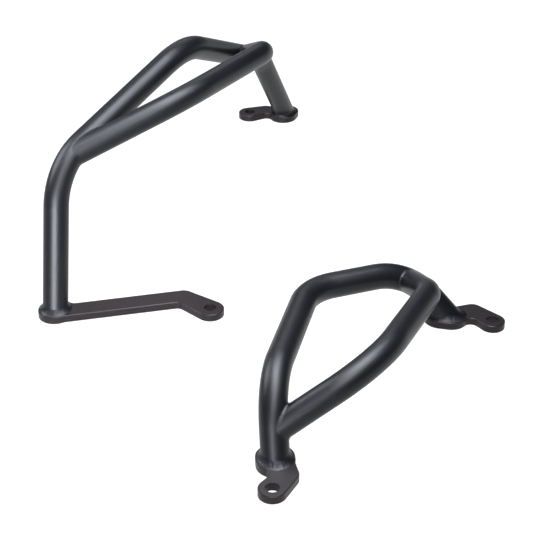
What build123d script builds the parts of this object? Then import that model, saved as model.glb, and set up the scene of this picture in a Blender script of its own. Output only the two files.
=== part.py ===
from build123d import *
from math import atan2, degrees, hypot
import os

# A pair of motorcycle crash bars, left and right. Each is a bent steel main tube with a branch
# tube welded across it, and a bolt-on bracket plate welded under each of its two feet.
# All sizes are in millimetres, +Z is up, and the brackets lie flat on Z = 0.

# Tube stock
tube_diameter = 25.4
branch_diameter = 24.8
tube_wall = 2.5

# Bracket plates
plate_thickness = 8
arm_width = {"left": 22.5, "right": 20.5}
ear_diameter = {"left": 28, "right": 25}
bolt_hole_diameter = 12.5
foot_margin = 0.3
corner_rounding = 7
edge_break = 0.6

# Weld beads: the bead round each foot, and the bead where a branch is coped onto the main tube,
# by its reach along the main tube and along the branch
foot_weld_leg = 3.6
foot_weld_toe = 0.5
joint_weld_on_main = 1.6
joint_weld_on_branch = 2.6

# Lower foot of each main tube, in plan, and the span from there to its upper foot
lower_foot = {"left": (-215, -108.5), "right": (4.5, -351)}
foot_span_x = {"left": 233.5, "right": 170.5}
foot_span_y = {"left": 492, "right": 232}

# Corners of each main tube's centreline, and the bend radius at each. Two corners are steps from
# the lower foot and the last is a step from the upper foot, with heights from the plates' tops.
rising_corners = {
    "left": [(4.5, 49, 133), (124.5, 216, 196)],
    "right": [(-3.5, 33.5, 56), (32, 194.5, 50)],
}
falling_corner = {"left": (-30.5, -84, 106), "right": (-39.5, 9.5, 44)}
main_bend_radii = {"left": [75, 88, 60], "right": [60, 55, 70]}

# The branch tube leaves the main tube at one distance along its centreline from the lower foot,
# comes back to it at another from the upper foot, and has one corner near each of the two.
branch_start = {"left": 157, "right": 22.5}
branch_end = {"left": 192.5, "right": 54}
branch_near_corner = {"left": (129, 114.5, 179), "right": (88, 38.5, 72)}
branch_far_corner = {"left": (-24.5, -229, 171), "right": (-24, -49.5, 54)}
branch_bend_radii = {"left": [90, 40], "right": [80, 35]}

# The arm of each bracket runs from its root under the foot, round one corner, to its bolt hole, all
# three given as steps in X and Y from the foot.
bracket_arms = {
    "left_lower": [(0, -5.5), (126.6, 24.5), (155, 1)],
    "left_upper": [(0, 0), (-24, 7), (-45, -2)],
    "right_lower": [(5, 0), (10, -22), (-2.5, -41)],
    "right_upper": [(0, 0), (28, 9), (45, -11.5)],
}

tube_radius = tube_diameter / 2
branch_radius = branch_diameter / 2
os.makedirs("parts", exist_ok=True)


def upper_foot(side):
    """The upper foot of a main tube, in plan."""
    x, y = lower_foot[side]
    return (x + foot_span_x[side], y + foot_span_y[side])


def above(foot, step):
    """The point at a step from a foot, with its height from the top of the plates."""
    return Vector(foot[0] + step[0], foot[1] + step[1], plate_thickness + step[2])


def leg_end(foot, first_corner):
    """Where a leg's centreline ends: one tube diameter below its foot, for the plate's top to trim."""
    return above(foot, (0, 0, 0)) - Vector(*first_corner).normalized() * tube_diameter


def main_route(side):
    """Corners of a main tube's centreline, from the lower foot to the upper one."""
    lower, upper = lower_foot[side], upper_foot(side)
    rising, falling = rising_corners[side], falling_corner[side]
    return [
        leg_end(lower, rising[0]),
        *[above(lower, corner) for corner in rising],
        above(upper, falling),
        leg_end(upper, falling),
    ]


def branch_route(side):
    """Corners of a branch tube's centreline, which starts and ends on the main tube's axis."""
    with BuildLine() as path:
        FilletPolyline(*main_route(side), radius=main_bend_radii[side])
    main_axis = path.wire()
    start, end = [
        main_axis.position_at(distance, position_mode=PositionMode.LENGTH)
        for distance in (
            tube_diameter + branch_start[side],
            main_axis.length - tube_diameter - branch_end[side],
        )
    ]
    near = above(lower_foot[side], branch_near_corner[side])
    far = above(upper_foot(side), branch_far_corner[side])
    return [start, near, far, end]


def bent_round(route, bend_radii, outer_radius, inner_radius=0):
    """A round bar along a route with tangent bends, hollow if it has an inner radius."""
    with BuildPart() as bar:
        with BuildLine() as path:
            FilletPolyline(*route, radius=bend_radii)
        with BuildSketch(Plane(path.line @ 0, z_dir=path.line % 0)):
            Circle(outer_radius)
            if inner_radius:
                Circle(inner_radius, mode=Mode.SUBTRACT)
        sweep()
    return bar.part


def tapered(start, start_radius, end, end_radius):
    """A flat link with round ends, straight-sided between them."""
    with BuildSketch() as link:
        with Locations(start):
            Circle(start_radius)
        with Locations(end):
            Circle(end_radius)
        make_hull()
    return link.sketch


def save(piece, name):
    """Name a finished piece and write it out."""
    piece.label = name
    export_step(piece, f"parts/{name}.step")


for side in ("left", "right"):
    main_line = (main_route(side), main_bend_radii[side])
    branch_line = (branch_route(side), branch_bend_radii[side])
    main_rod = bent_round(*main_line, tube_radius)
    branch_rod = bent_round(*branch_line, branch_radius)

    # The main tube, cut off flush with the tops of both plates
    with BuildPart() as main_tube:
        add(bent_round(*main_line, tube_radius, tube_radius - tube_wall))
        split(bisect_by=Plane.XY.offset(plate_thickness), keep=Keep.TOP)
    save(main_tube.part, f"{side}_main_tube")

    # The branch tube, coped at both ends to sit on the main tube
    with BuildPart() as branch_tube:
        add(bent_round(*branch_line, branch_radius, branch_radius - tube_wall))
        add(main_rod, mode=Mode.SUBTRACT)
    save(branch_tube.part, f"{side}_branch_tube")

    # The two beads that fill the corner between branch and main tube
    with BuildPart() as joint_welds:
        add(bent_round(*branch_line, branch_radius + joint_weld_on_main))
        add(bent_round(*main_line, tube_radius + joint_weld_on_branch), mode=Mode.INTERSECT)
        add(main_rod, mode=Mode.SUBTRACT)
        add(branch_rod, mode=Mode.SUBTRACT)
    beads = joint_welds.solids().sort_by(Axis.Y)
    for end, bead in (("lower", beads[0]), ("upper", beads[-1])):
        with BuildPart() as joint_weld:
            add(bead)
        save(joint_weld.part, f"{side}_{end}_joint_weld")

    feet = {
        "lower": (lower_foot[side], rising_corners[side][0]),
        "upper": (upper_foot(side), falling_corner[side]),
    }
    for end, (foot, first_corner) in feet.items():
        # A leaning leg meets its plate in an ellipse, long in the way that the leg leans
        leg = Vector(*first_corner).normalized()
        heading = degrees(atan2(leg.Y, leg.X))
        half_length = tube_radius / leg.Z
        lean = hypot(leg.X, leg.Y) / leg.Z

        arm_root, arm_corner, bolt_hole = [
            (foot[0] + step[0], foot[1] + step[1]) for step in bracket_arms[f"{side}_{end}"]
        ]
        arm_radius, ear_radius = arm_width[side] / 2, ear_diameter[side] / 2
        pad_radius = tube_radius + foot_weld_leg + edge_break + foot_margin

        # The bracket: a pad under the foot, an arm and a round ear, cut from flat plate
        with BuildPart() as bracket:
            with BuildSketch():
                with Locations(foot):
                    SlotCenterToCenter(2 * (half_length - tube_radius), 2 * pad_radius, rotation=heading)
                add(tapered(arm_root, arm_radius, arm_corner, arm_radius))
                add(tapered(arm_corner, arm_radius, bolt_hole, ear_radius))
                offset(amount=corner_rounding)
                offset(amount=-corner_rounding)
            extrude(amount=plate_thickness)
            rims = bracket.faces().filter_by(Axis.Z).edges()
            chamfer(rims, length=edge_break)
            with Locations(Plane.XY.offset(plate_thickness)):
                with Locations(bolt_hole):
                    Hole(bolt_hole_diameter / 2)
        save(bracket.part, f"{side}_{end}_bracket")

        # The bead round the foot, which slopes from the plate up to the tube
        with BuildPart() as foot_weld:
            with BuildSketch(Plane.XY.offset(plate_thickness)):
                with Locations(foot):
                    Ellipse(half_length + foot_weld_leg, tube_radius + foot_weld_leg, rotation=heading)
            bead_top = Vector(*foot) + Vector(lean * foot_weld_leg, 0).rotate(Axis.Z, heading)
            with BuildSketch(Plane.XY.offset(plate_thickness + foot_weld_leg)):
                with Locations(bead_top):
                    Ellipse(half_length + foot_weld_toe, tube_radius + foot_weld_toe, rotation=heading)
            loft(ruled=True)
            add(main_rod, mode=Mode.SUBTRACT)
        save(foot_weld.part, f"{side}_{end}_foot_weld")
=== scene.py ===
"""Looks of a left and a right motorcycle crash bar: satin black powder coat over bent tube, flat brackets and
rippled weld beads, on a white floor in soft studio light. All sizes are in metres."""

import math

import bmesh
import bpy
import numpy as np
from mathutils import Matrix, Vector
from mathutils.bvhtree import BVHTree


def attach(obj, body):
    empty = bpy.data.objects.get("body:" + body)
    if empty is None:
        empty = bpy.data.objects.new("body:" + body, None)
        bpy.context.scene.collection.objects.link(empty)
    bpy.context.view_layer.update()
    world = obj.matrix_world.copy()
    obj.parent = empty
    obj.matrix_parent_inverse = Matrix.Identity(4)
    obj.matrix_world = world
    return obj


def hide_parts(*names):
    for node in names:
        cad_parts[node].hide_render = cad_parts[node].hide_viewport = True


MM = 0.001

# Camera: where it stands, how far it looks down, and its lens on a 36 mm sensor
CAMERA_PLACE = (0.0, -1.305, 0.743)
CAMERA_DOWN_DEG = 30
CAMERA_LENS_MM = 93.33
CAMERA_SENSOR_MM = 36

# Powder coat: the clean and the dusty colour of the tubes and of the plates, and the range of its roughness
TUBE_COLOURS = ((0.0012, 0.0014, 0.0020), (0.0024, 0.0027, 0.0034))
# The plates' colours are the coat's own black with a warm tint, and that tint is a painted reflection of a
# warm surround.
PLATE_COLOURS_WITH_PAINTED_REFLECTION = ((0.0040, 0.0020, 0.0022), (0.0062, 0.0040, 0.0042))
COAT_ROUGHNESS = (0.37, 0.43)
COAT_SHINE = 0.25

# Clouds, orange peel and grain in the coat, by the size of their waves and by their detail. The grain is
# half as high as the peel, and the whole relief is twice as high on a weld.
CLOUD = {"size": 40 * MM, "detail": 4}
PEEL = {"size": 1.6 * MM, "detail": 1}
GRAIN = {"size": 0.45 * MM, "detail": 2}
GRAIN_HEIGHT = 0.5
COAT_RELIEF = 0.06 * MM
WELD_RELIEF = 2 * COAT_RELIEF

# Weld beads. Each kind has its reach over the wall and up the tube end that it joins to the wall, how full
# it is from hollow at 0 to flat at 1, and the depth of its ripples.
BEADS = {
    "foot_weld": {"on_wall": 3.6 * MM, "on_stub": 5.5 * MM, "fullness": 0.7, "depth": 0.4 * MM},
    "joint_weld": {"on_wall": 2.6 * MM, "on_stub": 3.2 * MM, "fullness": 0.1, "depth": 0.15 * MM},
}

# How finely a bead is made: its steps along the corner, its rows across, and how deep it goes into the steel
BEAD_STEP = 0.5 * MM
BEAD_ROWS = 11
BEAD_ROOT = 0.7 * MM
BEAD_SHARP_DEG = 60

# How a bead's corner is found: from the points of the plain weld solid this close to both surfaces, moved
# onto the two by turns. The stub's way out is read this far off the wall, and averaged over steps each way.
CORNER_REACH = 0.3 * MM
CORNER_PASSES = 3
NORMAL_REACH = 0.8 * MM
NORMAL_STEPS = 4

# Ripples along a bead: how far apart, how far they curve forward in the middle, and how uneven they are
RIPPLE_PITCH = 3.2 * MM
RIPPLE_LAG = 1.4 * MM
RIPPLE_WOBBLE = 1.3 * MM
WOBBLE_TURNS = (5, 8)

# Floor, just under the plates
FLOOR_SIZE = 30.0
FLOOR_DROP = 0.1 * MM
FLOOR_WHITE = 0.1
FLOOR_GLOW = 0.96
FLOOR_ROUGHNESS = 0.9
FLOOR_SHINE = 0.1

# Lights. Each has its place, the point that it faces, its width and height, the spread of its beam in
# degrees, and its power.
LIGHT_COLOUR = (0.88, 0.91, 1.0)
LIGHTS = {
    "leg_light": {
        "place": (-0.3, -0.6, 0.17),
        "aim": (-0.21, -0.08, 0.1),
        "size": (0.46, 0.36),
        "spread": 50,
        "power": 1.4,
    },
    "leg_fill": {
        "place": (-0.2, -0.9, 0.2),
        "aim": (-0.21, -0.08, 0.1),
        "size": (0.4, 0.4),
        "spread": 50,
        "power": 0.9,
    },
    "top_light": {
        "place": (0.0, -0.04, 0.65),
        "aim": (-0.1, 0.03, 0.18),
        "size": (0.5, 0.5),
        "spread": 120,
        "power": 5.8,
    },
    "right_light": {
        "place": (0.1, -0.36, 0.42),
        "aim": (0.04, -0.32, 0.07),
        "size": (0.32, 0.25),
        "spread": 110,
        "power": 1.3,
    },
    "high_light": {
        "place": (0.0, 0.0, 1.6),
        "aim": (0.0, 0.0, 0.1),
        "size": (1.0, 1.0),
        "spread": 120,
        "power": 9,
    },
    "left_light": {
        "place": (-0.7, 0.1, 0.6),
        "aim": (-0.1, 0.0, 0.1),
        "size": (0.5, 0.5),
        "spread": 120,
        "power": 4.5,
    },
    "front_light": {
        "place": (0.0, -1.3, 1.4),
        "aim": (0.0, 0.0, 0.1),
        "size": (0.8, 0.8),
        "spread": 120,
        "power": 10,
    },
    "back_light": {
        "place": (-0.2, 1.9, 1.2),
        "aim": (0.0, 0.0, 0.1),
        "size": (1.4, 0.6),
        "spread": 180,
        "power": 5.4,
    },
}
WORLD_COLOUR = (0.75, 0.88, 1.0)
WORLD_STRENGTH = 0.05


def material(name):
    """A new material and its shader."""
    made = bpy.data.materials.new(name)
    made.use_nodes = True
    return made, made.node_tree.nodes["Principled BSDF"]


def noise(tree, place, size, detail):
    """Noise with waves of about one size, fixed to the object."""
    made = tree.nodes.new("ShaderNodeTexNoise")
    made.inputs["Scale"].default_value = 1 / size
    made.inputs["Detail"].default_value = detail
    tree.links.new(place.outputs["Object"], made.inputs["Vector"])
    return made


def powder_coat(name, colours, relief):
    """Satin black powder coat: faint clouds in colour and gloss, an orange-peel surface and a fine grain."""
    made, shader = material(name)
    tree = made.node_tree
    place = tree.nodes.new("ShaderNodeTexCoord")
    cloud = noise(tree, place, **CLOUD)
    peel = noise(tree, place, **PEEL)
    grain = noise(tree, place, **GRAIN)

    colour = tree.nodes.new("ShaderNodeMix")
    colour.data_type = "RGBA"
    colour.inputs["A"].default_value = (*colours[0], 1)
    colour.inputs["B"].default_value = (*colours[1], 1)
    tree.links.new(cloud.outputs["Fac"], colour.inputs["Factor"])
    tree.links.new(colour.outputs["Result"], shader.inputs["Base Color"])

    gloss = tree.nodes.new("ShaderNodeMapRange")
    gloss.inputs["To Min"].default_value = COAT_ROUGHNESS[0]
    gloss.inputs["To Max"].default_value = COAT_ROUGHNESS[1]
    tree.links.new(cloud.outputs["Fac"], gloss.inputs["Value"])
    tree.links.new(gloss.outputs["Result"], shader.inputs["Roughness"])
    shader.inputs["Specular IOR Level"].default_value = COAT_SHINE

    height = tree.nodes.new("ShaderNodeMath")
    height.operation = "MULTIPLY_ADD"
    height.inputs[1].default_value = GRAIN_HEIGHT
    tree.links.new(grain.outputs["Fac"], height.inputs[0])
    tree.links.new(peel.outputs["Fac"], height.inputs[2])
    bump = tree.nodes.new("ShaderNodeBump")
    bump.inputs["Strength"].default_value = 1
    bump.inputs["Distance"].default_value = relief
    tree.links.new(height.outputs["Value"], bump.inputs["Height"])
    tree.links.new(bump.outputs["Normal"], shader.inputs["Normal"])
    return made


def surface(node):
    """A search tree over a CAD piece."""
    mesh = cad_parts[node].data
    return BVHTree.FromPolygons([v.co for v in mesh.vertices], [p.vertices[:] for p in mesh.polygons])


def nearest(tree, points):
    """For each point, the nearest point on a piece, and the way out of the piece there."""
    hits = [tree.find_nearest(point) for point in points]
    return np.array([hit[0] for hit in hits]), np.array([hit[1] for hit in hits])


def lengths(vectors):
    """The length of each vector."""
    return np.linalg.norm(vectors, axis=1)


def unit(vectors):
    """Vectors of length one."""
    return vectors / lengths(vectors)[:, None]


def evened(vectors):
    """Unit vectors averaged along a closed line, so that the facets of a mesh don't show."""
    return unit(sum(np.roll(vectors, k, 0) for k in range(-NORMAL_STEPS, NORMAL_STEPS + 1)))


def corner_line(node, wall, stub):
    """Points at even steps along the closed corner that a bead fills, where a stub ends on a wall."""
    points = np.array([vertex.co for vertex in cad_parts[node].data.vertices])
    away = sum(lengths(nearest(tree, points)[0] - points) for tree in (wall, stub))
    ring = points[away < CORNER_REACH]
    middle = ring.mean(0)
    flat = np.linalg.svd(ring - middle, full_matrices=False)[2][:2]
    ring = ring[np.argsort(np.arctan2((ring - middle) @ flat[1], (ring - middle) @ flat[0]))]
    ring = np.concatenate([ring, ring[:1]])
    marks = np.concatenate([[0], np.cumsum(lengths(np.diff(ring, axis=0)))])
    steps = np.linspace(0, marks[-1], round(marks[-1] / BEAD_STEP), endpoint=False)
    line = np.stack([np.interp(steps, marks, ring[:, k]) for k in range(3)], 1)
    for tree in CORNER_PASSES * (wall, stub):
        line = nearest(tree, line)[0]
    return line


def bead_rows(node, wall, stub, on_wall, on_stub, fullness, depth):
    """Rows of points along a bead: from the wall over its rippled face to the stub, and back inside."""
    corner = corner_line(node, wall, stub)
    wall_out = evened(nearest(wall, corner)[1])
    stub_out = evened(nearest(stub, corner + NORMAL_REACH * wall_out)[1])
    lean = (wall_out * stub_out).sum(1, keepdims=True)
    wall_toe = nearest(wall, corner + on_wall * unit(stub_out - lean * wall_out))[0]
    stub_toe = nearest(stub, corner + on_stub * unit(wall_out - lean * stub_out))[0]
    outward = unit(wall_out + stub_out)
    peak = (1 - fullness) * corner + fullness * (wall_toe + stub_toe) / 2

    along = np.cumsum(lengths(np.roll(corner, -1, 0) - corner))
    ripples = round(along[-1] / RIPPLE_PITCH)
    uneven = RIPPLE_WOBBLE * sum(np.sin(math.tau * turns * along / along[-1]) for turns in WOBBLE_TURNS)
    rows = []
    for t in np.linspace(0, 1, BEAD_ROWS):
        swell = 4 * t * (1 - t)
        turn = math.pi * ripples * (along + uneven + RIPPLE_LAG * swell) / along[-1]
        dip = depth * swell * (1 - np.sqrt(np.abs(np.sin(turn))))
        curve = (1 - t) ** 2 * wall_toe + 2 * t * (1 - t) * peak + t ** 2 * stub_toe
        rows.append(curve - outward * dip[:, None])
    rows.append(stub_toe - BEAD_ROOT * stub_out)
    rows.append(corner - BEAD_ROOT * outward)
    rows.append(wall_toe - BEAD_ROOT * wall_out)
    return rows


def weld_bead(node, wall, stub, **sizes):
    """A rippled bead where a stub ends on a wall, in the place of the plain weld solid there."""
    rows = bead_rows(node, surface(wall), surface(stub), **sizes)
    grid = np.arange(sum(len(row) for row in rows)).reshape(len(rows), -1)
    ahead = np.roll(grid, -1, 1)
    faces = np.stack([grid, ahead, np.roll(ahead, -1, 0), np.roll(grid, -1, 0)], -1).reshape(-1, 4)
    mesh = bpy.data.meshes.new(node + "_bead")
    mesh.from_pydata(np.concatenate(rows), [], faces.tolist())
    shape = bmesh.new()
    shape.from_mesh(mesh)
    bmesh.ops.recalc_face_normals(shape, faces=shape.faces)
    shape.to_mesh(mesh)
    shape.free()
    mesh.shade_smooth()
    mesh.set_sharp_from_angle(angle=math.radians(BEAD_SHARP_DEG))
    mesh.materials.append(weld_coat)

    bead = bpy.data.objects.new(node + "_bead", mesh)
    bpy.context.scene.collection.objects.link(bead)
    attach(bead, "root")
    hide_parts(node)


def floor():
    """A white floor with a faint glow, so that it stays white up to the edge of the picture."""
    bpy.ops.mesh.primitive_plane_add(size=FLOOR_SIZE, location=(0, 0, -FLOOR_DROP))
    made = bpy.context.object
    made.name = "floor"
    white, shader = material("white_floor")
    shader.inputs["Base Color"].default_value = (FLOOR_WHITE, FLOOR_WHITE, FLOOR_WHITE, 1)
    shader.inputs["Roughness"].default_value = FLOOR_ROUGHNESS
    shader.inputs["Specular IOR Level"].default_value = FLOOR_SHINE
    shader.inputs["Emission Color"].default_value = (1, 1, 1, 1)
    shader.inputs["Emission Strength"].default_value = FLOOR_GLOW
    made.data.materials.append(white)


def studio_light(name, place, aim, size, spread, power):
    """A soft light of one width and height, which stays out of the picture itself."""
    lamp = bpy.data.lights.new(name, "AREA")
    lamp.shape = "RECTANGLE"
    lamp.size, lamp.size_y = size
    lamp.spread = math.radians(spread)
    lamp.color = LIGHT_COLOUR
    lamp.energy = power
    made = bpy.data.objects.new(name, lamp)
    made.location = place
    made.rotation_euler = (Vector(place) - Vector(aim)).to_track_quat("Z", "Y").to_euler()
    made.visible_camera = False
    bpy.context.scene.collection.objects.link(made)


def surroundings():
    """A dim, slightly blue light from all round."""
    world = bpy.data.worlds.new("studio")
    world.use_nodes = True
    sky = world.node_tree.nodes["Background"]
    sky.inputs["Color"].default_value = (*WORLD_COLOUR, 1)
    sky.inputs["Strength"].default_value = WORLD_STRENGTH
    bpy.context.scene.world = world


def camera():
    """The camera, at the photograph's viewing angle."""
    lens = bpy.data.cameras.new("camera")
    lens.lens = CAMERA_LENS_MM
    lens.sensor_width = CAMERA_SENSOR_MM
    made = bpy.data.objects.new("camera", lens)
    made.location = CAMERA_PLACE
    made.rotation_euler = (math.radians(90 - CAMERA_DOWN_DEG), 0, 0)
    bpy.context.scene.collection.objects.link(made)
    bpy.context.scene.camera = made


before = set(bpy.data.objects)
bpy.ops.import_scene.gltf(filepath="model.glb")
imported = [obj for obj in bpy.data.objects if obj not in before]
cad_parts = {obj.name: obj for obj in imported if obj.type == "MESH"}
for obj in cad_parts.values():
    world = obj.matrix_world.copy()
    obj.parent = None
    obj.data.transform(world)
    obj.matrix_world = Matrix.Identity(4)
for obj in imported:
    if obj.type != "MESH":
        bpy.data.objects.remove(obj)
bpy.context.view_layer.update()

tube_coat = powder_coat("satin_black_coat", TUBE_COLOURS, COAT_RELIEF)
# The plates' coat: the coat's own black, with a warm tint that is a painted reflection.
plate_coat_with_painted_reflection = powder_coat("coated_plate_painted_reflection", PLATE_COLOURS_WITH_PAINTED_REFLECTION, COAT_RELIEF)
weld_coat = powder_coat("coated_weld", TUBE_COLOURS, WELD_RELIEF)
for name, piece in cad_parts.items():
    side, end, *words = name.split("_")
    kind = "_".join(words)
    main_tube = side + "_main_tube"
    if kind == "joint_weld":
        weld_bead(name, main_tube, side + "_branch_tube", **BEADS[kind])
    elif kind == "foot_weld":
        weld_bead(name, f"{side}_{end}_bracket", main_tube, **BEADS[kind])
    else:
        piece.data.materials.clear()
        piece.data.materials.append(plate_coat_with_painted_reflection if kind == "bracket" else tube_coat)

floor()
for name, values in LIGHTS.items():
    studio_light(name, **values)
surroundings()
bpy.context.scene.view_settings.view_transform = "Standard"
camera()
